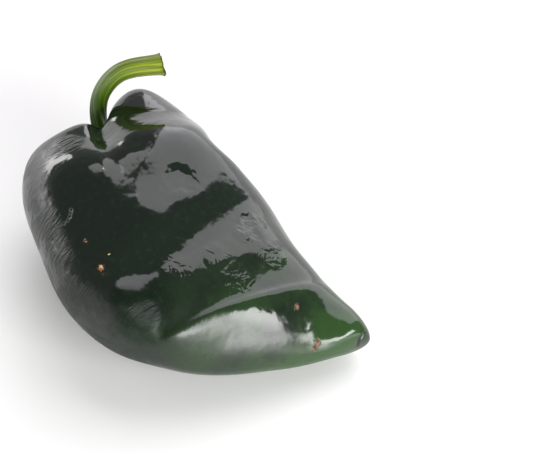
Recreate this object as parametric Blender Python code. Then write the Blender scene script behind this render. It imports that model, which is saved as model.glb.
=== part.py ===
"""A poblano pepper as picked, lying on its flatter side: a bent, three-lobed pod with a cut stem.

The pod lies along X, from the stem at -X to the tip at +X, with its broad face up. All sizes are in metres.
"""

import bisect
import math

import bmesh
import bpy
from mathutils import Vector, noise

# The pod's middle line in plan: its start and end, which way it heads there, and how long it holds that.
MIDDLE_START = Vector((0.0045, -0.0055))
MIDDLE_END = Vector((0.1109, -0.0003))
START_HEADING = math.radians(-37)
END_HEADING = math.radians(28.5)
HEADING_HOLD = 0.0450

# Along the middle line: height of the middle, half width towards +Y and towards -Y, half thickness.
STATIONS = (
    (0.0245, 0.0320, 0.0315, 0.0190),
    (0.0250, 0.0305, 0.0333, 0.0252),
    (0.0218, 0.0346, 0.0383, 0.0223),
    (0.0172, 0.0330, 0.0324, 0.0172),
    (0.0125, 0.0199, 0.0188, 0.0115),
    (0.0092, 0.0046, 0.0034, 0.0062),
)
SECTION_SQUARENESS = 2.2

# The shoulder and its basin, as shares of the half width and as depths along the middle line.
SEAT_REACH = 0.26
CREST_REACH = 0.52
CREST_DEPTH = -0.0051
SEAT_DEPTH = 0.0070
WIDEST_DEPTH = 0.0220
BASIN_HALF_WIDTH = 0.0310
SHOULDER_SQUARENESS = 2.4
TIP_ROUNDING = 0.0080

# Rings from the middle of the seat to the tip, and points round each ring.
SEAT_RINGS = 3
WALL_RINGS = 8
SHOULDER_RINGS = 13
BODY_RINGS = 40
TIP_RINGS = 7
RINGS = SEAT_RINGS + WALL_RINGS + SHOULDER_RINGS + BODY_RINGS + TIP_RINGS
POINTS_ROUND = 78

# Lobes: angle round the section, half angle, how much they swell it, how far their shoulder stands back.
LOBES = (
    (math.radians(48), math.radians(44), 0.14, 0.0135),
    (math.radians(155), math.radians(42), 0.04, -0.0036),
    (math.radians(272), math.radians(40), 0.00, -0.0030),
)

# Creases between the lobes: angle, half angle, pinch of the section, dip of the rim, and their reach.
CREASES = (
    (math.radians(94), math.radians(8), 0.24, 0.0080, 0.0210),
    (math.radians(214), math.radians(16), 0.15, 0.0055, 0.0340),
    (math.radians(328), math.radians(16), 0.13, 0.0055, 0.0340),
)
LOBE_FADE = 0.0450

# The folds across the upper face: where and which way they run, how their left end sweeps round and how they
# fan out, how far they reach to either end, and the heights they add from the stem's side to the tip's.
FOLDS_MIDDLE = Vector((0.0662, -0.0316))
FOLDS_ALONG = Vector((0.36, 0.93)).normalized()
FOLDS_SWEEP = 0.0070
FOLDS_FAN = 8.0
FOLDS_REACH = (0.0400, 0.0400)
FOLDS_START = -0.0400
FOLDS_STEP = 0.0040
FOLDS = (
    (0.0000,),
    (0.0004,),
    (0.0009,),
    (0.0014,),
    (0.0019,),
    (0.0022,),
    (0.0018,),
    (0.0008,),
    (0.0007,),
    (0.0020,),
    (0.0027,),
    (0.0022,),
    (0.0017,),
    (0.0019,),
    (0.0015,),
    (0.0004,),
    (0.0000,),
)

# The sharp lip along the last fold: how far from the middle, its height, and its spread to either side.
LIP_AWAY = 0.0120
LIP_HEIGHT = 0.0014
LIP_SPREAD = (0.0013, 0.0040)

# Dents and swellings of the upper face: place in plan, spread, height.
DENTS = (
    (0.0250, -0.0120, 0.0036, -0.0006),
    (0.0425, -0.0105, 0.0046, -0.0008),
    (0.0505, -0.0210, 0.0034, -0.0003),
    (0.0438, -0.0281, 0.0085, 0.0012),
    (0.0540, -0.0550, 0.0084, 0.0050),
    (0.0991, -0.0147, 0.0080, -0.0020),
)
UPPER_FACE_EASES = 0.6

# How finely the middle lines of the pod and the stem are measured.
LINE_STEPS = 400

# Unevenness of the wall, as grown.
WAVE_LENGTH = 0.0190
WAVE_HEIGHT = 0.0008

# The stem's middle line, from the end of its neck, which leads straight off the seat, to the cut.
STEM_NECK = 0.0070
STEM_ROUTE = (
    (-0.0015, -0.0030, 0.0258),
    (-0.0056, 0.0000, 0.0308),
    (-0.0064, 0.0035, 0.0380),
    (-0.0050, 0.0085, 0.0430),
    (-0.0014, 0.0135, 0.0455),
    (0.0060, 0.0213, 0.0462),
)

# The calyx and the stem above it: length along the stem and radius there, from the edge of the underside.
STEM_PROFILE = (
    (0.0000, 0.0069),
    (0.0009, 0.0075),
    (0.0018, 0.0070),
    (0.0036, 0.0052),
    (0.0078, 0.0036),
    (0.0180, 0.0028),
    (0.0290, 0.0029),
    (0.0400, 0.0031),
    (0.0490, 0.0033),
    (0.0530, 0.0036),
)
CALYX_STARTS = 0.0036
CALYX_LOBES = 5
CALYX_LOBE_DEPTH = 0.04
STEM_RIBS = 5
STEM_RIB_HEIGHT = 0.07
STEM_RINGS = 46
STEM_POINTS_ROUND = 30
CUT_SLANT = math.radians(12)
CUT_STARTS = 8
SEAT_GAP = 0.0003


def smooth_through(rows, place):
    """The values at a place, from 0 at the first row to 1 at the last, on a smooth curve through the rows."""
    spans = len(rows) - 1
    at = min(max(place, 0.0), 1.0) * spans
    first = min(int(at), spans - 1)
    share = at - first
    before, start = rows[max(first - 1, 0)], rows[first]
    end, after = rows[first + 1], rows[min(first + 2, spans)]
    values = []
    for a, b, c, d in zip(before, start, end, after):
        bend = 2 * a - 5 * b + 4 * c - d
        twist = -a + 3 * b - 3 * c + d
        values.append(b + 0.5 * share * ((c - a) + share * (bend + share * twist)))
    return values


def middle_point(place):
    """A point of the middle line in plan, from its start at 0 to its end at 1."""
    hold_start = Vector((math.cos(START_HEADING), math.sin(START_HEADING))) * HEADING_HOLD
    hold_end = Vector((math.cos(END_HEADING), math.sin(END_HEADING))) * HEADING_HOLD
    left = 1 - place
    return (
        MIDDLE_START * left**3
        + (MIDDLE_START + hold_start) * 3 * left**2 * place
        + (MIDDLE_END - hold_end) * 3 * left * place**2
        + MIDDLE_END * place**3
    )


def lengths_along(line):
    """The lengths of a line up to closely spaced places on it."""
    steps = LINE_STEPS
    lengths = [0.0]
    for step in range(steps):
        stretch = line((step + 1) / steps) - line(step / steps)
        lengths.append(lengths[-1] + stretch.length)
    return lengths


def place_of(length, lengths):
    """The place on a line, from 0 to 1, that lies a length along it."""
    steps = len(lengths) - 1
    after = min(max(bisect.bisect_left(lengths, length), 1), steps)
    share = (length - lengths[after - 1]) / (lengths[after] - lengths[after - 1])
    return min(max((after - 1 + share) / steps, 0.0), 1.0)


def heading_at(line, place):
    """The direction of a line at a place."""
    step = 1 / LINE_STEPS
    return (line(min(place + step, 1.0)) - line(max(place - step, 0.0))).normalized()


MIDDLE_LENGTHS = lengths_along(middle_point)


def section(depth):
    """Centre, heading, side direction, half widths and half thickness of the pod at a depth."""
    place = place_of(depth, MIDDLE_LENGTHS)
    height, width_right, width_left, thickness = smooth_through(STATIONS, place)
    heading = heading_at(middle_point, place).to_3d()
    side = Vector((-heading.y, heading.x, 0))
    centre = middle_point(place).to_3d() + heading * min(depth, 0.0)
    centre.z = height
    return centre, heading, side, width_right, width_left, thickness


def meridian():
    """Reach and depth of each ring, from the middle of the seat over the rim to the tip."""
    rings = []
    for i in range(SEAT_RINGS):
        rings.append((SEAT_REACH * i / SEAT_RINGS, SEAT_DEPTH))
    for i in range(WALL_RINGS):
        share = i / WALL_RINGS
        rise = (1 - math.cos(math.pi * share)) / 2
        reach = SEAT_REACH + (CREST_REACH - SEAT_REACH) * share
        rings.append((reach, SEAT_DEPTH + (CREST_DEPTH - SEAT_DEPTH) * rise))
    power = 2 / SHOULDER_SQUARENESS
    for i in range(SHOULDER_RINGS):
        angle = math.pi / 2 * i / SHOULDER_RINGS
        reach = CREST_REACH + (1 - CREST_REACH) * math.sin(angle) ** power
        drop = 1 - math.cos(angle) ** power
        rings.append((reach, CREST_DEPTH + (WIDEST_DEPTH - CREST_DEPTH) * drop))
    tip_start = MIDDLE_LENGTHS[-1] - TIP_ROUNDING
    for i in range(BODY_RINGS):
        rings.append((1.0, WIDEST_DEPTH + (tip_start - WIDEST_DEPTH) * i / BODY_RINGS))
    for i in range(TIP_RINGS + 1):
        angle = math.pi / 2 * i / TIP_RINGS
        rings.append((math.cos(angle), tip_start + TIP_ROUNDING * math.sin(angle)))
    return rings


def turn_between(angle, other):
    """The smallest turn from one angle to another."""
    return (angle - other + math.pi) % (2 * math.pi) - math.pi


def growth(angle, depth):
    """How much the lobes and creases scale the section there, and how far they move the rim along the pod."""
    scale = 1.0
    shift = 0.0
    for lobe, half_angle, swell, back in LOBES:
        bulge = math.exp(-((turn_between(angle, lobe) / half_angle) ** 2))
        scale += swell * bulge * math.exp(-((max(depth, 0.0) / LOBE_FADE) ** 2))
        shift -= back * bulge
    for crease, half_angle, pinch, dip, fade in CREASES:
        groove = 1 / (1 + (turn_between(angle, crease) / half_angle) ** 2)
        scale -= pinch * groove * math.exp(-((max(depth, 0.0) / fade) ** 2))
        shift += dip * groove
    return scale, shift


def relief(point):
    """How far the upper face stands up or sinks at a point in plan, over folds, lip and dents."""
    away = Vector((point.x, point.y)) - FOLDS_MIDDLE
    along = away.dot(FOLDS_ALONG)
    towards_tip = Vector((FOLDS_ALONG.y, -FOLDS_ALONG.x))
    outward = along / (FOLDS_REACH[1] if along > 0 else FOLDS_REACH[0])
    across = away.dot(towards_tip) + FOLDS_SWEEP * max(-outward, 0.0) ** 3 - LIP_AWAY
    across *= 1 - FOLDS_FAN * along
    place = (across + LIP_AWAY - FOLDS_START) / (FOLDS_STEP * (len(FOLDS) - 1))
    height = smooth_through(FOLDS, place)[0]
    spread = LIP_SPREAD[1] if across > 0 else LIP_SPREAD[0]
    height += LIP_HEIGHT * math.exp(-((across / spread) ** 2))
    height *= math.exp(-(outward**4))
    for x, y, spread, rise in DENTS:
        height += rise * math.exp(-((math.hypot(point.x - x, point.y - y) / spread) ** 2))
    return height


def rim_share(reach, depth):
    """1 on the rim of the basin, easing to 0 at the seat and at the widest ring."""
    if depth >= WIDEST_DEPTH:
        return 0.0
    if reach > CREST_REACH:
        away = (reach - CREST_REACH) / (1 - CREST_REACH)
    else:
        away = (CREST_REACH - reach) / (CREST_REACH - SEAT_REACH)
    return math.cos(min(away, 1.0) * math.pi / 2) ** 2


def squared(value):
    """A cosine or sine pushed outwards, which flattens the sides of a section."""
    return math.copysign(abs(value) ** (2 / SECTION_SQUARENESS), value)


def pod_point(ring, angle):
    """A point of the pod's skin, from its ring's reach and depth and its angle round the section."""
    reach, depth = ring
    scale, shift = growth(angle, depth)
    depth += shift * rim_share(reach, depth)
    centre, _, side, width_right, width_left, thickness = section(depth)
    half_width = width_right if math.cos(angle) > 0 else width_left
    outside = 1.0
    if ring[1] < WIDEST_DEPTH:
        outside = min(max((reach - SEAT_REACH) / (CREST_REACH - SEAT_REACH), 0.0), 1.0)
    across = BASIN_HALF_WIDTH * math.cos(angle) * (1 - outside)
    across += half_width * squared(math.cos(angle)) * scale * outside
    rise = BASIN_HALF_WIDTH * math.sin(angle) * (1 - outside)
    rise += thickness * squared(math.sin(angle)) * scale * outside
    point = centre + side * across * reach
    upper = min(max(math.sin(angle) / UPPER_FACE_EASES, 0.0), 1.0)
    upper *= upper * (3 - 2 * upper)
    point.z += rise * reach + relief(point) * upper
    outward = (side * math.cos(angle) + Vector((0, 0, math.sin(angle)))).normalized()
    point += outward * outside * WAVE_HEIGHT * noise.noise(point / WAVE_LENGTH)
    point.z = max(point.z, 0.0)
    return point


def add_node(mesh_name, shape, colour, roughness):
    """Turns a bmesh into a named object that faces outwards, with its own material."""
    if shape.calc_volume(signed=True) < 0:
        bmesh.ops.reverse_faces(shape, faces=shape.faces)
    mesh = bpy.data.meshes.new(mesh_name)
    shape.to_mesh(mesh)
    shape.free()
    mesh.shade_smooth()
    material = bpy.data.materials.new(mesh_name)
    material.use_nodes = True
    surface = material.node_tree.nodes["Principled BSDF"]
    surface.inputs["Base Color"].default_value = (*colour, 1)
    surface.inputs["Roughness"].default_value = roughness
    mesh.materials.append(material)
    node = bpy.data.objects.new(mesh_name, mesh)
    bpy.context.scene.collection.objects.link(node)
    return node


def ring_and_angle(spot, rings):
    """Which ring of a unit sphere a point is on, counted from the top, and its angle round the sphere."""
    ring = round(math.acos(max(-1.0, min(1.0, spot.z))) / math.pi * rings)
    return ring, math.atan2(spot.y, spot.x)


def make_pod():
    """The fruit, shaped from a sphere whose poles are the seat's middle and the tip."""
    rings = meridian()
    shape = bmesh.new()
    bmesh.ops.create_uvsphere(shape, u_segments=POINTS_ROUND, v_segments=RINGS, radius=1)
    for vert in shape.verts:
        ring, angle = ring_and_angle(vert.co, RINGS)
        vert.co = pod_point(rings[ring], angle)
    return add_node("pod", shape, (0.012, 0.03, 0.012), 0.25)


def stem_route():
    """The points that the stem's middle line goes through, from the seat to the cut."""
    seat, heading = section(SEAT_DEPTH)[:2]
    foot = seat - heading * SEAT_GAP
    neck = foot - heading * STEM_NECK
    return (tuple(foot), tuple(neck), *STEM_ROUTE)


STEM_POINTS = stem_route()


def stem_line(place):
    """A point of the stem's middle line, from its foot at 0 to the cut at 1."""
    return Vector(smooth_through(STEM_POINTS, place))


STEM_LENGTHS = lengths_along(stem_line)


def stem_point(ring, angle):
    """A point of the stem's skin; the first and last rings close its foot and its cut."""
    share = min(max((ring - 1) / (STEM_RINGS - 2), 0.0), 1.0)
    length, radius = smooth_through(STEM_PROFILE, share)
    place = place_of(length, STEM_LENGTHS)
    heading = heading_at(stem_line, place)
    side = heading.cross(Vector((0, 0, 1))).normalized()
    over = side.cross(heading)
    if ring in (0, STEM_RINGS):
        radius = 0.0
    calyx = min(max((radius - CALYX_STARTS) / CALYX_STARTS, 0.0), 1.0)
    ribs = STEM_RIB_HEIGHT * (1 - calyx) * math.cos(STEM_RIBS * angle)
    lobes = CALYX_LOBE_DEPTH * calyx * math.cos(CALYX_LOBES * angle)
    radius *= 1 + ribs + lobes
    point = stem_line(place) + radius * (math.cos(angle) * side + math.sin(angle) * over)
    slant = math.tan(CUT_SLANT) * share**CUT_STARTS
    return point + heading * radius * math.cos(angle) * slant


def make_stem():
    """The cut stem with the calyx at its foot, shaped from a sphere whose poles are its ends."""
    shape = bmesh.new()
    bmesh.ops.create_uvsphere(
        shape, u_segments=STEM_POINTS_ROUND, v_segments=STEM_RINGS, radius=1
    )
    for vert in shape.verts:
        vert.co = stem_point(*ring_and_angle(vert.co, STEM_RINGS))
    return add_node("stem", shape, (0.16, 0.26, 0.03), 0.5)


def centre_over_origin(nodes):
    """Moves the pieces so that the origin is at the middle of the bottom of their box."""
    corners = [v.co for node in nodes for v in node.data.vertices]
    middle_x = (min(c.x for c in corners) + max(c.x for c in corners)) / 2
    middle_y = (min(c.y for c in corners) + max(c.y for c in corners)) / 2
    for corner in corners:
        corner.x -= middle_x
        corner.y -= middle_y


def main():
    for old in list(bpy.data.objects):
        bpy.data.objects.remove(old)
    centre_over_origin([make_pod(), make_stem()])


main()
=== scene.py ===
"""A poblano pepper with its waxy skin, its creases and corky marks, and its cut stem, on a pale table.

Lengths are in metres, and the axes are the frame's: X from the stem to the tip, Z up from the table.
"""

import bisect
import math

import bmesh
import bpy
from bpy.props import FloatProperty, FloatVectorProperty, IntProperty, PointerProperty
from bpy.types import Operator, Panel, PropertyGroup
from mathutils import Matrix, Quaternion, Vector, noise


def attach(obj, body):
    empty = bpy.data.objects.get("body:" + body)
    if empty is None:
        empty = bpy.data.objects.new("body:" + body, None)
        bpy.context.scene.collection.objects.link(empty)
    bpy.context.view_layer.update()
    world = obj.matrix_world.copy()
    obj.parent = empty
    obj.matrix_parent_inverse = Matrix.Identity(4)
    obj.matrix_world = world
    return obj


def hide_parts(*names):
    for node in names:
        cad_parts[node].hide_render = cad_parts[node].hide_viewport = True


bl_info = {
    "name": "Poblano pepper",
    "version": (1, 0, 0),
    "blender": (4, 5, 0),
    "location": "3D View > Sidebar > Poblano",
    "description": "Builds a poblano pepper with its skin and stem, on a lit table",
    "category": "Object",
}

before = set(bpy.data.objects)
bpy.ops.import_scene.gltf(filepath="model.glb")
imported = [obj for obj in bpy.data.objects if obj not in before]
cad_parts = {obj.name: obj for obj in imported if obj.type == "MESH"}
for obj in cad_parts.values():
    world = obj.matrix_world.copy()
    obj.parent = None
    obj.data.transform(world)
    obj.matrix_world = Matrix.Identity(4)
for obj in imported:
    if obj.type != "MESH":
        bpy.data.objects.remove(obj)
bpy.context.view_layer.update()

MM = 0.001

# Where the pod's own origin, at the start of its shoulder, lies in the frame.
POD_TO_FRAME = Vector((-0.0501, 0.0186, 0))

# The pod's middle line in plan: its start, its end, its headings there and how far it holds them.
MIDDLE_START = Vector((0.0045, -0.0055))
MIDDLE_END = Vector((0.1109, -0.0003))
START_HEADING = math.radians(-37)
END_HEADING = math.radians(28.5)
HEADING_HOLD = 0.0450

# Along the middle line: height of the middle, half width towards +Y and towards -Y, half thickness.
STATIONS = (
    (0.0245, 0.0320, 0.0315, 0.0190),
    (0.0250, 0.0305, 0.0333, 0.0252),
    (0.0218, 0.0346, 0.0383, 0.0223),
    (0.0172, 0.0330, 0.0324, 0.0172),
    (0.0125, 0.0199, 0.0188, 0.0115),
    (0.0092, 0.0046, 0.0034, 0.0062),
)
SECTION_SQUARENESS = 2.2

# The seat of the stem, the rim round its basin and the widest ring: reaches are shares of the half width,
# and depths are counted along the middle line.
SEAT_REACH = 0.26
CREST_REACH = 0.52
CREST_DEPTH = -0.0051
SEAT_DEPTH = 0.0070
WIDEST_DEPTH = 0.0220
BASIN_HALF_WIDTH = 0.0310
SHOULDER_SQUARENESS = 2.4
TIP_ROUNDING = 0.0080

# Rings on the seat, the basin's wall, the shoulder, the body and the tip, for each step of fineness.
RING_SHARES = (1, 3, 5, 13, 3)

# Lobes: angle round the section, half angle, how much they swell it, and how far back their shoulder is;
# and how far along the pod they fade out.
LOBES = (
    (math.radians(48), math.radians(44), 0.14, 0.0135),
    (math.radians(155), math.radians(42), 0.04, -0.0036),
    (math.radians(272), math.radians(40), 0.00, -0.0030),
)
LOBE_FADE = 0.0450

# Creases between the lobes: angle, half angle, pinch of the section, dip of the rim, and their fade.
CREASES = (
    (math.radians(94), math.radians(8), 0.24, 0.0080, 0.0210),
    (math.radians(214), math.radians(16), 0.15, 0.0055, 0.0340),
    (math.radians(328), math.radians(16), 0.13, 0.0055, 0.0340),
)

# The folds across the upper face: where and which way they run, how their left end sweeps round, how they
# fan out, and how far they reach to their left and right ends. Their heights run from the stem's side to
# the tip's, with a start and a step across them.
FOLDS_MIDDLE = Vector((0.0662, -0.0316))
FOLDS_ALONG = Vector((0.36, 0.93)).normalized()
FOLDS_SWEEP = 0.0070
FOLDS_FAN = 8.0
FOLDS_REACH = (0.0400, 0.0400)
FOLDS_START = -0.0400
FOLDS_STEP = 0.0040
FOLDS = (
    (0.0000,),
    (0.0004,),
    (0.0009,),
    (0.0014,),
    (0.0019,),
    (0.0022,),
    (0.0018,),
    (0.0008,),
    (0.0007,),
    (0.0020,),
    (0.0027,),
    (0.0022,),
    (0.0017,),
    (0.0019,),
    (0.0015,),
    (0.0004,),
    (0.0000,),
)

# The sharp lip along the last fold: how far from the middle, its height, and its spread to either side.
LIP_AWAY = 0.0120
LIP_HEIGHT = 0.0014
LIP_SPREAD = (0.0013, 0.0040)

# Dents and swellings of the upper face: place in plan, spread, height.
DENTS = (
    (0.0250, -0.0120, 0.0036, -0.0006),
    (0.0425, -0.0105, 0.0046, -0.0008),
    (0.0505, -0.0210, 0.0034, -0.0003),
    (0.0438, -0.0281, 0.0085, 0.0012),
    (0.0540, -0.0550, 0.0084, 0.0050),
    (0.0991, -0.0147, 0.0080, -0.0020),
)

# The sine of the angle round the section where folds, lip and dents are whole, easing in from the sides.
UPPER_FACE_EASES = 0.6

# Unevenness of the wall, as grown.
WAVE_LENGTH = 0.0190
WAVE_HEIGHT = 0.0008

# The stem's middle line: the gap under its foot, its straight neck, and its route from there to the cut.
SEAT_GAP = 0.0003
STEM_NECK = 0.0070
STEM_ROUTE = (
    (-0.0015, -0.0030, 0.0258),
    (-0.0056, 0.0000, 0.0308),
    (-0.0064, 0.0035, 0.0380),
    (-0.0050, 0.0085, 0.0430),
    (-0.0014, 0.0135, 0.0455),
    (0.0060, 0.0213, 0.0462),
)

# Calyx and stem: length along the stem and radius there, from the edge of the underside to the cut.
STEM_PROFILE = (
    (0.0000, 0.0069),
    (0.0009, 0.0075),
    (0.0018, 0.0070),
    (0.0036, 0.0052),
    (0.0078, 0.0036),
    (0.0180, 0.0028),
    (0.0290, 0.0029),
    (0.0400, 0.0031),
    (0.0490, 0.0033),
    (0.0530, 0.0036),
)

# The calyx is where the radius is above this one. Its lobes and the stem's ribs are shares of the radius.
CALYX_STARTS = 0.0036
CALYX_LOBES = 5
CALYX_LOBE_DEPTH = 0.04
STEM_RIBS = 5
STEM_RIB_HEIGHT = 0.07

# The cut: its slant, how deep and how ragged its torn edge is and which part of the noise it follows, and
# how much its rim flares. The slant and the edge set in with powers of the share of the stem's length.
CUT_SLANT = math.radians(12)
TEAR_DEPTH = 0.0006
TEAR_RAGGEDNESS = 2.2
TEAR_PATTERN = 3
CUT_FLARE = 0.10
CUT_STARTS = 8
TEAR_STARTS = 40

# Steps in which the middle lines are measured.
LINE_STEPS = 400

# The stem's own coordinates, kept on its mesh: X and Y go round it, and Z is the share of its length.
BARK_LAYER = "bark"

# Where the wall has dried and sunk: the side it is on, and how far out that way it starts and is whole.
FLANK_SIDE = (-0.45, -0.75, -0.45)
FLANK_SPAN = (0.0090, 0.0160)

# The directions in which its wrinkles follow each other, 0.9 mm apart, and run, for about 5 mm.
WRINKLE_ACROSS = Vector((-0.93, 0.36, 0.05)) / (0.9 * MM)
WRINKLE_ALONG = Vector((0.30, 0.69, 0.66)) / (5 * MM)

# Where the wax is dull below the lip: the side it is on, and how far out it starts and is whole.
BROW_SIDE = (0.40, -0.80, -0.40)
BROW_SPAN = (0.0080, 0.0140)

# Where along the pod the skin starts to be younger, and where it is youngest.
YOUNG_SPAN = (0.002, 0.066)

# Spots on the skin, each a place in the frame and a radius; they are whole up to this share of it.
SPOT_CORE = 0.4
WRINKLED_PATCHES = (
    (-0.0470, -0.0050, 0.0430, 0.0080),
    (-0.0300, -0.0280, 0.0400, 0.0070),
    (0.0125, -0.0327, 0.0342, 0.0065),
    (0.0081, -0.0388, 0.0280, 0.0070),
)
DIMPLED_PATCHES = (
    (0.0117, -0.0160, 0.0388, 0.0060),
    (0.0254, -0.0039, 0.0326, 0.0070),
    (0.0254, 0.0127, 0.0294, 0.0065),
    (0.0152, 0.0151, 0.0329, 0.0060),
    (0.0165, -0.0035, 0.0374, 0.0055),
    (0.0160, 0.0100, 0.0345, 0.0045),
)
SUNKEN_PATCHES = (
    (-0.0064, 0.0068, 0.0469, 0.0070),
    (0.0150, 0.0139, 0.0334, 0.0045),
)
CORKY_MARKS = (
    (-0.0049, -0.0311, 0.0406, 0.0017),
    (-0.0036, -0.0318, 0.0396, 0.0010),
    (-0.0146, -0.0281, 0.0434, 0.0011),
    (0.0419, 0.0051, 0.0241, 0.0014),
    (0.0519, 0.0033, 0.0158, 0.0017),
    (0.0518, 0.0018, 0.0142, 0.0013),
)
PALE_SPECKS = (
    (-0.0052, -0.0308, 0.0408, 0.0009),
    (-0.0146, -0.0281, 0.0434, 0.0006),
    (0.0425, 0.0054, 0.0240, 0.0010),
    (-0.0258, -0.0074, 0.0498, 0.0006),
    (-0.0054, -0.0268, 0.0428, 0.0005),
)

# A healed crack on the shoulder, as spots in a row.
CRACK = (
    (-0.0252, -0.0230, 0.0447, 0.0008),
    (-0.0246, -0.0238, 0.0442, 0.0008),
    (-0.0241, -0.0246, 0.0437, 0.0009),
    (-0.0242, -0.0257, 0.0430, 0.0009),
    (-0.0248, -0.0268, 0.0422, 0.0009),
    (-0.0258, -0.0277, 0.0413, 0.0009),
    (-0.0268, -0.0285, 0.0404, 0.0008),
)

# Where a dry film takes the shine off the skin, at the hollow's end.
DULL_PATCHES = ((0.0125, -0.0327, 0.0342, 0.0130),)

# The slit beside the tip, sunk and painted near-black as painted shade, in a space where X counts
# eightfold, which makes its spot narrow and upright.
SLIT_STRETCH = (8, 1, 1)
TIP_SLIT = ((0.4760, 0.0143, 0.0122, 0.0036),)

# How far apart the spots of each of the skin's patterns are.
CLUMPS_APART = 9 * MM
RAGS_APART = 0.8 * MM
WAVES_APART = 7 * MM
GREENS_APART = 16 * MM
FLECKS_APART = 1.8 * MM
WEAR_APART = 5 * MM
GRAIN_APART = 1.6 * MM
DIMPLES_APART = 3.4 * MM

# How far the rims of small marks are ragged, and the outlines of large patches sway, from side to side.
RAG_REACH = 1.6 * MM
SWAY_REACH = 9 * MM

# The wax where it is whole.
WAX_ROUGHNESS = 0.05
WAX_SPECULAR = 0.5
WAX_IOR = 1.5

# The stem's fibres, in its own coordinates: 4.5 to its radius of 3 mm sets them 0.7 mm apart round it, and
# 3 to its length of 53 mm draws each out to 18 mm.
FIBRE_STRETCH = (4.5, 4.5, 3.0)

# How far apart the specks in the bark are, and how rough it is where it is smoothest.
BARK_SPECKS_APART = 0.9 * MM
BARK_ROUGHNESS = 0.25

# The table top's matt face, and the even light of the room round the soft lights.
TABLE_ROUGHNESS = 0.6
ROOM_LIGHT = 0.3

# Soft lights: degrees to the right of straight behind the pepper, degrees up, distance, width, height,
# radiance, colour, and roll in degrees.
SOFTBOXES = (
    ("Window softbox", 28, 29.5, 1.5, 1.75, 2.75, 2.7, "#FAF7FD", 9),
    ("Window wing", -23, 52, 1.5, 0.30, 0.50, 2.7, "#FAF7FD", 9),
    ("White board", -58, 3, 1.5, 1.7, 0.42, 5.5, "#FFFFFF", 0),
    ("Front window", 152, 21, 1.4, 1.95, 0.32, 14.0, "#FFFFFF", 22),
    ("Front wall", 156, 4, 1.5, 2.9, 0.60, 2.8, "#FFFFFF", 0),
)

# The camera looks down on the pod from the side of its front shoulder.
CAMERA_TURN = math.radians(40)
CAMERA_TILT = math.radians(52)
CAMERA_DISTANCE = 0.508
CAMERA_LENS_MM = 100
CAMERA_AIM = Vector((0.0118, 0.0311, 0.0119))


def linear(colour):
    """Turns an sRGB hex colour into the linear red, green, blue and alpha that Blender works with."""
    parts = [int(colour[i : i + 2], 16) / 255 for i in (1, 3, 5)]
    return tuple(c / 12.92 if c <= 0.04045 else ((c + 0.055) / 1.055) ** 2.4 for c in parts) + (1.0,)


def feed(tree, node, inputs):
    """Sets a node's inputs, and links those that are given as a socket or as a node.

    A node is linked from the first output that its settings leave in use.
    """
    for name, value in inputs.items():
        if isinstance(value, bpy.types.Node):
            value = next(output for output in value.outputs if output.enabled)
        if isinstance(value, bpy.types.NodeSocket):
            tree.links.new(value, node.inputs[name])
        else:
            node.inputs[name].default_value = value


def add(tree, kind, inputs=None, **settings):
    """Adds a node with its settings and feeds its inputs."""
    node = tree.nodes.new(kind)
    for name, value in settings.items():
        setattr(node, name, value)
    feed(tree, node, inputs or {})
    return node


def smooth_through(rows, place):
    """The values at a place, 0 at the first row and 1 at the last, on a smooth curve through the rows."""
    spans = len(rows) - 1
    at = min(max(place, 0.0), 1.0) * spans
    first = min(int(at), spans - 1)
    share = at - first
    before, start = rows[max(first - 1, 0)], rows[first]
    end, after = rows[first + 1], rows[min(first + 2, spans)]
    values = []
    for a, b, c, d in zip(before, start, end, after):
        bend = 2 * a - 5 * b + 4 * c - d
        twist = -a + 3 * b - 3 * c + d
        values.append(b + 0.5 * share * ((c - a) + share * (bend + share * twist)))
    return values


def middle_point(place):
    """A point of the pod's middle line in plan, from its start at 0 to its end at 1."""
    hold_start = Vector((math.cos(START_HEADING), math.sin(START_HEADING))) * HEADING_HOLD
    hold_end = Vector((math.cos(END_HEADING), math.sin(END_HEADING))) * HEADING_HOLD
    left = 1 - place
    return (
        MIDDLE_START * left**3
        + (MIDDLE_START + hold_start) * 3 * left**2 * place
        + (MIDDLE_END - hold_end) * 3 * left * place**2
        + MIDDLE_END * place**3
    )


def lengths_along(line):
    """The lengths of a line up to closely spaced places on it."""
    lengths = [0.0]
    for step in range(LINE_STEPS):
        stretch = line((step + 1) / LINE_STEPS) - line(step / LINE_STEPS)
        lengths.append(lengths[-1] + stretch.length)
    return lengths


def place_of(length, lengths):
    """The place on a line, from 0 to 1, that lies a length along it."""
    steps = len(lengths) - 1
    after = min(max(bisect.bisect_left(lengths, length), 1), steps)
    share = (length - lengths[after - 1]) / (lengths[after] - lengths[after - 1])
    return min(max((after - 1 + share) / steps, 0.0), 1.0)


def heading_at(line, place):
    """The direction of a line at a place."""
    step = 1 / LINE_STEPS
    return (line(min(place + step, 1.0)) - line(max(place - step, 0.0))).normalized()


MIDDLE_LENGTHS = lengths_along(middle_point)


def section(depth):
    """Centre, heading, side direction, half widths and half thickness of the pod at a depth."""
    place = place_of(depth, MIDDLE_LENGTHS)
    height, width_right, width_left, thickness = smooth_through(STATIONS, place)
    heading = heading_at(middle_point, place).to_3d()
    side = Vector((-heading.y, heading.x, 0))
    centre = middle_point(place).to_3d() + heading * min(depth, 0.0)
    centre.z = height
    return centre, heading, side, width_right, width_left, thickness


def turn_between(angle, other):
    """The smallest turn from one angle to another."""
    return (angle - other + math.pi) % (2 * math.pi) - math.pi


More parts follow.
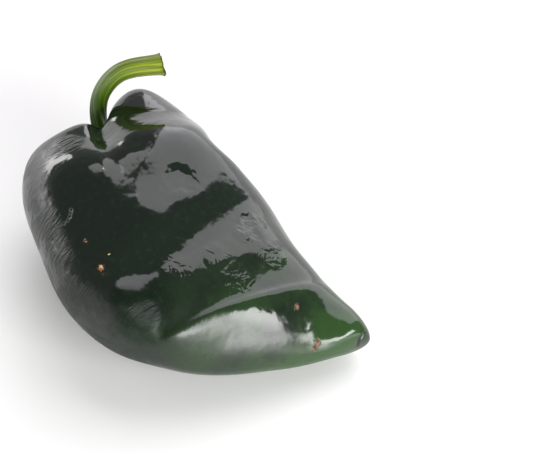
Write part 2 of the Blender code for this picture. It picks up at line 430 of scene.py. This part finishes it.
def growth(angle, depth):
    """How much lobes and creases scale the section there, and how far they move the rim along the pod."""
    scale = 1.0
    shift = 0.0
    for lobe, half_angle, swell, back in LOBES:
        bulge = math.exp(-((turn_between(angle, lobe) / half_angle) ** 2))
        scale += swell * bulge * math.exp(-((max(depth, 0.0) / LOBE_FADE) ** 2))
        shift -= back * bulge
    for crease, half_angle, pinch, dip, fade in CREASES:
        groove = 1 / (1 + (turn_between(angle, crease) / half_angle) ** 2)
        scale -= pinch * groove * math.exp(-((max(depth, 0.0) / fade) ** 2))
        shift += dip * groove
    return scale, shift


def relief(point):
    """How far the upper face stands up or sinks at a point in plan, over folds, lip and dents."""
    away = Vector((point.x, point.y)) - FOLDS_MIDDLE
    along = away.dot(FOLDS_ALONG)
    towards_tip = Vector((FOLDS_ALONG.y, -FOLDS_ALONG.x))
    outward = along / (FOLDS_REACH[1] if along > 0 else FOLDS_REACH[0])
    across = away.dot(towards_tip) + FOLDS_SWEEP * max(-outward, 0.0) ** 3 - LIP_AWAY
    across *= 1 - FOLDS_FAN * along
    place = (across + LIP_AWAY - FOLDS_START) / (FOLDS_STEP * (len(FOLDS) - 1))
    height = smooth_through(FOLDS, place)[0]
    spread = LIP_SPREAD[1] if across > 0 else LIP_SPREAD[0]
    height += LIP_HEIGHT * math.exp(-((across / spread) ** 2))
    height *= math.exp(-(outward**4))
    for x, y, spread, rise in DENTS:
        height += rise * math.exp(-((math.hypot(point.x - x, point.y - y) / spread) ** 2))
    return height


def rim_share(reach, depth):
    """1 on the rim of the basin, easing to 0 at the seat and at the widest ring."""
    if depth >= WIDEST_DEPTH:
        return 0.0
    if reach > CREST_REACH:
        away = (reach - CREST_REACH) / (1 - CREST_REACH)
    else:
        away = (CREST_REACH - reach) / (CREST_REACH - SEAT_REACH)
    return math.cos(min(away, 1.0) * math.pi / 2) ** 2


def squared(value):
    """A cosine or sine pushed outwards, which flattens the sides of a section."""
    return math.copysign(abs(value) ** (2 / SECTION_SQUARENESS), value)


def pod_point(ring, angle):
    """A point of the pod's skin, from its ring's reach and depth and its angle round the section."""
    reach, depth = ring
    scale, shift = growth(angle, depth)
    depth += shift * rim_share(reach, depth)
    centre, _, side, width_right, width_left, thickness = section(depth)
    half_width = width_right if math.cos(angle) > 0 else width_left
    outside = 1.0
    if ring[1] < WIDEST_DEPTH:
        outside = min(max((reach - SEAT_REACH) / (CREST_REACH - SEAT_REACH), 0.0), 1.0)
    across = BASIN_HALF_WIDTH * math.cos(angle) * (1 - outside)
    across += half_width * squared(math.cos(angle)) * scale * outside
    rise = BASIN_HALF_WIDTH * math.sin(angle) * (1 - outside)
    rise += thickness * squared(math.sin(angle)) * scale * outside
    point = centre + side * across * reach
    upper = min(max(math.sin(angle) / UPPER_FACE_EASES, 0.0), 1.0)
    upper *= upper * (3 - 2 * upper)
    point.z += rise * reach + relief(point) * upper
    outward = (side * math.cos(angle) + Vector((0, 0, math.sin(angle)))).normalized()
    point += outward * outside * WAVE_HEIGHT * noise.noise(point / WAVE_LENGTH)
    point.z = max(point.z, 0.0)
    return point


def meridian(fineness):
    """Reach and depth of each ring, from the middle of the seat over the rim to the tip."""
    rings = []
    seat_rings, wall_rings, shoulder_rings, body_rings, tip_rings = (
        share * fineness for share in RING_SHARES
    )
    for i in range(seat_rings):
        rings.append((SEAT_REACH * i / seat_rings, SEAT_DEPTH))
    for i in range(wall_rings):
        share = i / wall_rings
        rise = (1 - math.cos(math.pi * share)) / 2
        reach = SEAT_REACH + (CREST_REACH - SEAT_REACH) * share
        rings.append((reach, SEAT_DEPTH + (CREST_DEPTH - SEAT_DEPTH) * rise))
    power = 2 / SHOULDER_SQUARENESS
    for i in range(shoulder_rings):
        angle = math.pi / 2 * i / shoulder_rings
        reach = CREST_REACH + (1 - CREST_REACH) * math.sin(angle) ** power
        drop = 1 - math.cos(angle) ** power
        rings.append((reach, CREST_DEPTH + (WIDEST_DEPTH - CREST_DEPTH) * drop))
    tip_start = MIDDLE_LENGTHS[-1] - TIP_ROUNDING
    for i in range(body_rings):
        rings.append((1.0, WIDEST_DEPTH + (tip_start - WIDEST_DEPTH) * i / body_rings))
    for i in range(tip_rings + 1):
        angle = math.pi / 2 * i / tip_rings
        rings.append((math.cos(angle), tip_start + TIP_ROUNDING * math.sin(angle)))
    return rings


def ring_and_angle(spot, rings):
    """The ring that a point of a unit sphere is on, counted from the top, and its angle round it."""
    ring = round(math.acos(max(-1.0, min(1.0, spot.z))) / math.pi * rings)
    return ring, math.atan2(spot.y, spot.x)


def finished(name, shape, material):
    """Turns a bmesh into a named, smooth object that faces outwards and rides on the pepper."""
    if shape.calc_volume(signed=True) < 0:
        bmesh.ops.reverse_faces(shape, faces=shape.faces)
    mesh = bpy.data.meshes.new(name)
    shape.to_mesh(mesh)
    shape.free()
    mesh.shade_smooth()
    mesh.materials.append(material)
    piece = bpy.data.objects.new(name, mesh)
    bpy.context.scene.collection.objects.link(piece)
    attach(piece, "root")
    return piece


def stem_route():
    """The points that the stem's middle line goes through, from the seat to the cut."""
    seat, heading = section(SEAT_DEPTH)[:2]
    foot = seat - heading * SEAT_GAP
    neck = foot - heading * STEM_NECK
    return (tuple(foot), tuple(neck), *STEM_ROUTE)


STEM_POINTS = stem_route()


def stem_line(place):
    """A point of the stem's middle line, from its foot at 0 to the cut at 1."""
    return Vector(smooth_through(STEM_POINTS, place))


STEM_LENGTHS = lengths_along(stem_line)


def stem_point(ring, rings, angle):
    """A point of the stem's skin; the first and last rings close its foot and its cut."""
    share = min(max((ring - 1) / (rings - 2), 0.0), 1.0)
    length, radius = smooth_through(STEM_PROFILE, share)
    place = place_of(length, STEM_LENGTHS)
    heading = heading_at(stem_line, place)
    side = heading.cross(Vector((0, 0, 1))).normalized()
    over = side.cross(heading)
    if ring in (0, rings):
        radius = 0.0
    calyx = min(max((radius - CALYX_STARTS) / CALYX_STARTS, 0.0), 1.0)
    ribs = STEM_RIB_HEIGHT * (1 - calyx) * math.cos(STEM_RIBS * angle)
    lobes = CALYX_LOBE_DEPTH * calyx * math.cos(CALYX_LOBES * angle)
    at_cut = share**TEAR_STARTS
    radius *= 1 + ribs + lobes + CUT_FLARE * at_cut
    point = stem_line(place) + radius * (math.cos(angle) * side + math.sin(angle) * over)
    slant = math.tan(CUT_SLANT) * share**CUT_STARTS
    spot = Vector((math.cos(angle), math.sin(angle), TEAR_PATTERN))
    torn = TEAR_DEPTH * at_cut * (noise.noise(TEAR_RAGGEDNESS * spot) - 0.5)
    return point + heading * (radius * math.cos(angle) * slant + torn)


class PodSettings(PropertyGroup):
    """Sizes and colours of the pod."""

    fineness: IntProperty(
        name="Fineness", description="Rings for each part of the pod", default=8, min=1, max=10
    )
    points_round: IntProperty(
        name="Points round", description="Points round each ring", default=256, min=24, max=400
    )
    dark_green: FloatVectorProperty(
        name="Dark green",
        description="The skin over most of the pod",
        subtype="COLOR",
        size=4,
        default=linear("#0B160D"),
    )
    tip_green: FloatVectorProperty(
        name="Tip green",
        description="The skin near the tip, where it is younger and thinner",
        subtype="COLOR",
        size=4,
        default=linear("#28441D"),
    )
    fleck_green: FloatVectorProperty(
        name="Fleck green",
        description="Fine flecks of thinner skin",
        subtype="COLOR",
        size=4,
        default=linear("#2E4A26"),
    )
    # Painted shade: the near-black that stands for the shade inside the slit beside the tip.
    slit_shade_colour: FloatVectorProperty(
        name="Slit colour",
        description="The dark slit beside the tip",
        subtype="COLOR",
        size=4,
        default=linear("#060C06"),
    )
    cork_colour: FloatVectorProperty(
        name="Cork colour",
        description="Corky marks on the skin",
        subtype="COLOR",
        size=4,
        default=linear("#8A5A34"),
    )
    scab_colour: FloatVectorProperty(
        name="Scab colour",
        description="Dark red scabs in the corky marks",
        subtype="COLOR",
        size=4,
        default=linear("#34120C"),
    )
    speck_colour: FloatVectorProperty(
        name="Speck colour",
        description="Pale specks on the skin and in the corky marks",
        subtype="COLOR",
        size=4,
        default=linear("#C9B48C"),
    )


class StemSettings(PropertyGroup):
    """Sizes and colours of the stem."""

    rings: IntProperty(
        name="Rings", description="Rings along the stem", default=220, min=20, max=400
    )
    points_round: IntProperty(
        name="Points round", description="Points round the stem", default=100, min=12, max=200
    )
    foot_green: FloatVectorProperty(
        name="Foot green",
        description="The calyx and the foot of the stem",
        subtype="COLOR",
        size=4,
        default=linear("#2A4414"),
    )
    green: FloatVectorProperty(
        name="Stem green",
        description="The middle of the stem",
        subtype="COLOR",
        size=4,
        default=linear("#4A7614"),
    )
    end_green: FloatVectorProperty(
        name="End green",
        description="The yellower end of the stem",
        subtype="COLOR",
        size=4,
        default=linear("#8E9E12"),
    )
    # Painted shade: the darker green laid into the furrows, where the fibres' relief sinks the bark.
    furrow_shade_green: FloatVectorProperty(
        name="Furrow green",
        description="The furrows between the stem's fibres",
        subtype="COLOR",
        size=4,
        default=linear("#1E3A10"),
    )
    cork_brown: FloatVectorProperty(
        name="Cork brown",
        description="Corky patches on the calyx",
        subtype="COLOR",
        size=4,
        default=linear("#7A6238"),
    )
    cut_brown: FloatVectorProperty(
        name="Cut brown",
        description="The dry cut face",
        subtype="COLOR",
        size=4,
        default=linear("#3A2A16"),
    )


class StageSettings(PropertyGroup):
    """The table and the lights."""

    table_side: FloatProperty(
        name="Table side", description="Side of the table top", default=6.0, unit="LENGTH"
    )
    table_colour: FloatVectorProperty(
        name="Table colour",
        description="Plain pale table top",
        subtype="COLOR",
        size=4,
        default=linear("#FAFAF8"),
    )


def near(tree, place, spots):
    """1 in the middle of any of the spots, each a place and a radius, easing to 0 at their rims."""
    covered = 0.0
    for *middle, radius in spots:
        away = add(tree, "ShaderNodeVectorMath", {0: place, 1: middle}, operation="DISTANCE")
        inside = add(
            tree,
            "ShaderNodeMapRange",
            {"Value": away, "From Min": radius, "From Max": SPOT_CORE * radius},
            interpolation_type="SMOOTHSTEP",
        )
        covered = add(tree, "ShaderNodeMath", {0: covered, 1: inside}, operation="MAXIMUM")
    return covered


def strayed(tree, place, pattern, reach):
    """The place moved to and fro within a reach by a noise pattern, which makes outlines uneven."""
    moved = add(
        tree,
        "ShaderNodeVectorMath",
        {0: pattern.outputs["Color"], 1: (reach,) * 3, 2: place},
        operation="MULTIPLY_ADD",
    )
    return add(tree, "ShaderNodeVectorMath", {0: moved, 1: (reach / 2,) * 3}, operation="SUBTRACT")


def total(tree, start, terms):
    """A starting value plus the terms, each a value times its weight."""
    for value, weight in terms:
        start = add(
            tree, "ShaderNodeMath", {0: value, 1: weight, 2: start}, operation="MULTIPLY_ADD"
        )
    return start


def layered(tree, colour, layers):
    """A colour under layers, each the share that it covers and its own colour."""
    for share, cover in layers:
        colour = add(
            tree, "ShaderNodeMix", {"Factor": share, "A": colour, "B": cover}, data_type="RGBA"
        )
    return colour


def skin_material(settings):
    """Ripe fruit wall, grown with a clear wax on it.

    The wax mirrors the room over flesh of so dark a green that it looks black where little is mirrored.
    """
    material = bpy.data.materials.new("Waxy poblano skin")
    material.use_nodes = True
    tree = material.node_tree
    place = add(tree, "ShaderNodeTexCoord").outputs["Object"]

    # It is wrinkled in clumps along the flank, where the drying wall has sunk, and in single patches.
    flank = add(tree, "ShaderNodeVectorMath", {0: place, 1: FLANK_SIDE}, operation="DOT_PRODUCT")
    flank = add(
        tree,
        "ShaderNodeMapRange",
        {"Value": flank, "From Min": FLANK_SPAN[0], "From Max": FLANK_SPAN[1]},
        interpolation_type="SMOOTHSTEP",
    )
    clumps = add(
        tree, "ShaderNodeTexNoise", {"Vector": place, "Scale": 1 / CLUMPS_APART, "Detail": 2.0}
    )
    clumps = add(
        tree,
        "ShaderNodeMapRange",
        {"Value": clumps, "From Min": 0.40, "From Max": 0.56},
        interpolation_type="SMOOTHSTEP",
    )
    clumps = add(tree, "ShaderNodeMath", {0: flank, 1: clumps}, operation="MULTIPLY")
    patches = near(tree, place, WRINKLED_PATCHES)
    wrinkled = add(tree, "ShaderNodeMath", {0: clumps, 1: patches}, operation="MAXIMUM")
    across = add(tree, "ShaderNodeVectorMath", {0: place, 1: WRINKLE_ACROSS}, operation="DOT_PRODUCT")
    along = add(tree, "ShaderNodeVectorMath", {0: place, 1: WRINKLE_ALONG}, operation="DOT_PRODUCT")
    drawn_out = add(tree, "ShaderNodeCombineXYZ", {"X": across, "Y": along})
    wrinkles = add(
        tree,
        "ShaderNodeTexNoise",
        {"Vector": drawn_out, "Scale": 1.0, "Detail": 2.0, "Distortion": 0.6},
    )
    wrinkles = add(tree, "ShaderNodeMath", {0: wrinkles, 1: wrinkled}, operation="MULTIPLY")

    # Small marks have ragged rims, and the outlines of large patches sway with the wall's gentle waves.
    rags = add(tree, "ShaderNodeTexNoise", {"Vector": place, "Scale": 1 / RAGS_APART, "Detail": 3.0})
    ragged = strayed(tree, place, rags, RAG_REACH)
    corky = near(tree, ragged, CORKY_MARKS)
    pale = near(tree, ragged, PALE_SPECKS)
    cracked = near(tree, ragged, CRACK)
    waves = add(tree, "ShaderNodeTexNoise", {"Vector": place, "Scale": 1 / WAVES_APART, "Detail": 2.0})
    swaying = strayed(tree, place, waves, SWAY_REACH)
    dull = near(tree, swaying, DULL_PATCHES)
    sunken = near(tree, swaying, SUNKEN_PATCHES)
    narrow = add(tree, "ShaderNodeVectorMath", {0: place, 1: SLIT_STRETCH}, operation="MULTIPLY")
    slit = near(tree, narrow, TIP_SLIT)

    # The young, thin skin towards the tip is lighter, and fine flecks of it show everywhere.
    younger = add(
        tree,
        "ShaderNodeMapRange",
        {
            "Value": add(tree, "ShaderNodeSeparateXYZ", {"Vector": place}).outputs["X"],
            "From Min": YOUNG_SPAN[0],
            "From Max": YOUNG_SPAN[1],
        },
        interpolation_type="SMOOTHSTEP",
    )
    greens = add(
        tree, "ShaderNodeTexNoise", {"Vector": place, "Scale": 1 / GREENS_APART, "Detail": 4.0}
    )
    greens = add(
        tree,
        "ShaderNodeMapRange",
        {"Value": greens, "From Min": 0.30, "From Max": 0.62},
        interpolation_type="SMOOTHSTEP",
    )
    younger = add(tree, "ShaderNodeMath", {0: younger, 1: greens}, operation="MULTIPLY")
    flecks = add(
        tree, "ShaderNodeTexNoise", {"Vector": place, "Scale": 1 / FLECKS_APART, "Detail": 3.0}
    )
    flecks = add(
        tree,
        "ShaderNodeMapRange",
        {"Value": flecks, "From Min": 0.50, "From Max": 0.80, "To Max": 0.14},
        interpolation_type="SMOOTHSTEP",
    )
    scabs = add(
        tree,
        "ShaderNodeMapRange",
        {"Value": rags, "From Min": 0.46, "From Max": 0.56},
        interpolation_type="SMOOTHSTEP",
    )
    cork = layered(tree, settings.cork_colour, ((scabs, settings.scab_colour),))
    # The slit's near-black is painted shade, laid over the skin's own colours; cork and pale specks are
    # the skin's own.
    green = layered(
        tree,
        settings.dark_green,
        (
            (younger, settings.tip_green),
            (flecks, settings.fleck_green),
            (slit, settings.slit_shade_colour),
            (corky, cork),
            (pale, settings.speck_colour),
        ),
    )

    # The wax is worn on the flank, on the brow below the lip and on wrinkles, and cork has none.
    brow = add(tree, "ShaderNodeVectorMath", {0: place, 1: BROW_SIDE}, operation="DOT_PRODUCT")
    brow = add(
        tree,
        "ShaderNodeMapRange",
        {"Value": brow, "From Min": BROW_SPAN[0], "From Max": BROW_SPAN[1]},
        interpolation_type="SMOOTHSTEP",
    )
    worn = add(tree, "ShaderNodeTexNoise", {"Vector": place, "Scale": 1 / WEAR_APART, "Detail": 3.0})
    roughness = total(
        tree,
        WAX_ROUGHNESS,
        ((worn, 0.10), (flank, 0.14), (brow, 0.16), (wrinkled, 0.14), (corky, 0.4)),
    )

    # Relief in millimetres.
    grain = add(tree, "ShaderNodeTexNoise", {"Vector": place, "Scale": 1 / GRAIN_APART, "Detail": 2.0})
    dimples = add(
        tree,
        "ShaderNodeTexNoise",
        {"Vector": place, "Scale": 1 / DIMPLES_APART, "Detail": 1.0, "Distortion": 1.2},
    )
    dimpled = near(tree, place, DIMPLED_PATCHES)
    dimples = add(tree, "ShaderNodeMath", {0: dimples, 1: dimpled}, operation="MULTIPLY")
    height = total(
        tree,
        0.0,
        (
            (waves, 0.25),
            (grain, 0.012),
            (wrinkles, 0.40),
            (dimples, 0.5),
            (sunken, -0.40),
            (cracked, -0.30),
            (corky, 0.12),
            (pale, 0.05),
            (slit, -0.25),
        ),
    )
    feed(
        tree,
        tree.nodes["Principled BSDF"],
        {
            "Base Color": green,
            "Roughness": roughness,
            "IOR": WAX_IOR,
            "Specular IOR Level": total(tree, WAX_SPECULAR, ((dull, -0.38),)),
            "Normal": add(tree, "ShaderNodeBump", {"Height": height, "Distance": MM, "Strength": 1.0}),
        },
    )
    return material


def stem_material(settings):
    """A green, fibrous stalk, grown and cut.

    Its bark is satin and finely ribbed, corky on the calyx, and dry and brown at the cut.
    """
    material = bpy.data.materials.new("Green stem bark")
    material.use_nodes = True
    tree = material.node_tree
    place = add(tree, "ShaderNodeTexCoord").outputs["Object"]
    bark = add(tree, "ShaderNodeAttribute", attribute_name=BARK_LAYER).outputs["Vector"]
    length = add(tree, "ShaderNodeSeparateXYZ", {"Vector": bark}).outputs["Z"]
    stretched = add(tree, "ShaderNodeVectorMath", {0: bark, 1: FIBRE_STRETCH}, operation="MULTIPLY")
    fibres = add(
        tree,
        "ShaderNodeTexNoise",
        {"Vector": stretched, "Scale": 1.0, "Detail": 3.0, "Distortion": 0.2},
    )
    specks = add(
        tree, "ShaderNodeTexNoise", {"Vector": place, "Scale": 1 / BARK_SPECKS_APART, "Detail": 3.0}
    )

    # The bark grows lighter and yellower along the stem, and the furrows between the fibres are painted
    # darker as painted shade.
    grown = add(
        tree,
        "ShaderNodeMapRange",
        {"Value": length, "From Min": 0.25, "From Max": 0.70},
        interpolation_type="SMOOTHSTEP",
    )
    ended = add(
        tree,
        "ShaderNodeMapRange",
        {"Value": length, "From Min": 0.55, "From Max": 0.92},
        interpolation_type="SMOOTHSTEP",
    )
    # Painted shade in the furrows, on the same fibres that sink the relief below.
    furrows = add(
        tree,
        "ShaderNodeMapRange",
        {"Value": fibres, "From Min": 0.40, "From Max": 0.62, "To Max": 0.60},
        interpolation_type="SMOOTHSTEP",
    )
    spotted = add(
        tree,
        "ShaderNodeMapRange",
        {"Value": specks, "From Min": 0.60, "From Max": 0.72},
        interpolation_type="SMOOTHSTEP",
    )
    on_calyx = add(
        tree,
        "ShaderNodeMapRange",
        {"Value": length, "From Min": 0.16, "From Max": 0.06},
        interpolation_type="SMOOTHSTEP",
    )
    spotted = add(tree, "ShaderNodeMath", {0: spotted, 1: on_calyx}, operation="MULTIPLY")

    # The specks make the cut's border uneven.
    cut = add(
        tree,
        "ShaderNodeMapRange",
        {
            "Value": total(tree, length, ((specks, 0.06),)),
            "From Min": 1.000,
            "From Max": 1.012,
        },
        interpolation_type="SMOOTHSTEP",
    )
    green = layered(
        tree,
        settings.foot_green,
        (
            (grown, settings.green),
            (ended, settings.end_green),
            (furrows, settings.furrow_shade_green),
            (spotted, settings.cork_brown),
            (cut, settings.cut_brown),
        ),
    )
    roughness = total(tree, BARK_ROUGHNESS, ((fibres, 0.15), (on_calyx, 0.1), (cut, 0.35)))

    # Relief in millimetres.
    height = total(tree, 0.0, ((fibres, -0.5), (specks, 0.08)))
    feed(
        tree,
        tree.nodes["Principled BSDF"],
        {
            "Base Color": green,
            "Roughness": roughness,
            "Normal": add(tree, "ShaderNodeBump", {"Height": height, "Distance": MM, "Strength": 1.0}),
        },
    )
    return material


class POBLANO_OT_pod(Operator):
    """Models the pod's skin with its lobes, creases and hollow"""

    bl_idname = "poblano.pod"
    bl_label = "Pod"

    def execute(self, context):
        settings = context.scene.poblano_pod
        rings = meridian(settings.fineness)
        last = len(rings) - 1
        shape = bmesh.new()
        bmesh.ops.create_uvsphere(
            shape, u_segments=settings.points_round, v_segments=last, radius=1
        )
        for vert in shape.verts:
            ring, angle = ring_and_angle(vert.co, last)
            vert.co = pod_point(rings[ring], angle) + POD_TO_FRAME
        piece = finished("pod_skin", shape, skin_material(settings))
        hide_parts("pod")
        return {"FINISHED"}


class POBLANO_OT_stem(Operator):
    """Models the stem with its calyx, ribs and cut"""

    bl_idname = "poblano.stem"
    bl_label = "Stem"

    def execute(self, context):
        settings = context.scene.poblano_stem
        shape = bmesh.new()
        bmesh.ops.create_uvsphere(
            shape, u_segments=settings.points_round, v_segments=settings.rings, radius=1
        )
        bark = shape.verts.layers.float_vector.new(BARK_LAYER)
        for vert in shape.verts:
            ring, angle = ring_and_angle(vert.co, settings.rings)
            vert[bark] = (math.cos(angle), math.sin(angle), ring / settings.rings)
            vert.co = stem_point(ring, settings.rings, angle) + POD_TO_FRAME
        piece = finished("stem_bark", shape, stem_material(settings))
        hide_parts("stem")
        return {"FINISHED"}


def direction(turn, tilt):
    """The direction from the pepper at a turn round it, counted from -Y towards +X, and a tilt up."""
    level = math.cos(tilt)
    return Vector((math.sin(turn) * level, -math.cos(turn) * level, math.sin(tilt)))


def add_softbox(name, turn, tilt, distance, width, height, radiance, colour, roll):
    """Adds a rectangular light that faces the pepper."""
    away = direction(CAMERA_TURN + math.pi - math.radians(turn), math.radians(tilt))
    lamp = bpy.data.lights.new(name, "AREA")
    lamp.shape = "RECTANGLE"
    lamp.size = width
    lamp.size_y = height
    lamp.energy = radiance * math.pi * width * height
    lamp.color = linear(colour)[:3]
    light = bpy.data.objects.new(name, lamp)
    light.location = away * distance
    light.rotation_mode = "QUATERNION"
    rolled = Quaternion((0, 0, 1), math.radians(roll))
    light.rotation_quaternion = away.to_track_quat("Z", "Y") @ rolled
    bpy.context.scene.collection.objects.link(light)


class POBLANO_OT_stage(Operator):
    """Lays the table, hangs the lights and sets the camera"""

    bl_idname = "poblano.stage"
    bl_label = "Table, lights and camera"

    def execute(self, context):
        settings = context.scene.poblano_stage
        scene = context.scene
        shape = bmesh.new()
        bmesh.ops.create_grid(shape, x_segments=1, y_segments=1, size=settings.table_side / 2)
        mesh = bpy.data.meshes.new("table")
        shape.to_mesh(mesh)
        shape.free()
        # Pressed laminate with a matt face, which takes the pepper's soft shadow and mirrors little.
        material = bpy.data.materials.new("Matt white laminate")
        material.use_nodes = True
        surface = material.node_tree.nodes["Principled BSDF"]
        surface.inputs["Base Color"].default_value = settings.table_colour
        surface.inputs["Roughness"].default_value = TABLE_ROUGHNESS
        mesh.materials.append(material)
        table = bpy.data.objects.new("table", mesh)
        scene.collection.objects.link(table)

        world = bpy.data.worlds.new("Dim room")
        world.use_nodes = True
        background = world.node_tree.nodes["Background"]
        background.inputs["Color"].default_value = linear("#FFFFFF")
        background.inputs["Strength"].default_value = ROOM_LIGHT
        scene.world = world
        for softbox in SOFTBOXES:
            add_softbox(*softbox)

        back = direction(CAMERA_TURN, CAMERA_TILT)
        lens = bpy.data.cameras.new("camera")
        lens.lens = CAMERA_LENS_MM
        camera = bpy.data.objects.new("camera", lens)
        camera.location = CAMERA_AIM + back * CAMERA_DISTANCE
        camera.rotation_mode = "QUATERNION"
        camera.rotation_quaternion = (-back).to_track_quat("-Z", "Y")
        scene.collection.objects.link(camera)
        scene.camera = camera
        scene.view_settings.view_transform = "Standard"
        return {"FINISHED"}


class POBLANO_PT_panel(Panel):
    """Lists the pieces and their settings"""

    bl_idname = "POBLANO_PT_panel"
    bl_label = "Poblano pepper"
    bl_space_type = "VIEW_3D"
    bl_region_type = "UI"
    bl_category = "Poblano"

    def draw(self, context):
        for operator, group in (
            (POBLANO_OT_pod, context.scene.poblano_pod),
            (POBLANO_OT_stem, context.scene.poblano_stem),
            (POBLANO_OT_stage, context.scene.poblano_stage),
        ):
            box = self.layout.box()
            box.operator(operator.bl_idname)
            for name in group.__annotations__:
                box.prop(group, name)


CLASSES = (
    PodSettings,
    StemSettings,
    StageSettings,
    POBLANO_OT_pod,
    POBLANO_OT_stem,
    POBLANO_OT_stage,
    POBLANO_PT_panel,
)


def register():
    """Makes the settings, operators and panel known to Blender."""
    for kind in CLASSES:
        bpy.utils.register_class(kind)
    bpy.types.Scene.poblano_pod = PointerProperty(type=PodSettings)
    bpy.types.Scene.poblano_stem = PointerProperty(type=StemSettings)
    bpy.types.Scene.poblano_stage = PointerProperty(type=StageSettings)


def unregister():
    """Takes the settings, operators and panel away again."""
    del bpy.types.Scene.poblano_stage
    del bpy.types.Scene.poblano_stem
    del bpy.types.Scene.poblano_pod
    for kind in reversed(CLASSES):
        bpy.utils.unregister_class(kind)


def main():
    """Builds the pepper and its stage."""
    register()
    bpy.ops.poblano.pod()
    bpy.ops.poblano.stem()
    bpy.ops.poblano.stage()


if __name__ == "__main__":
    main()
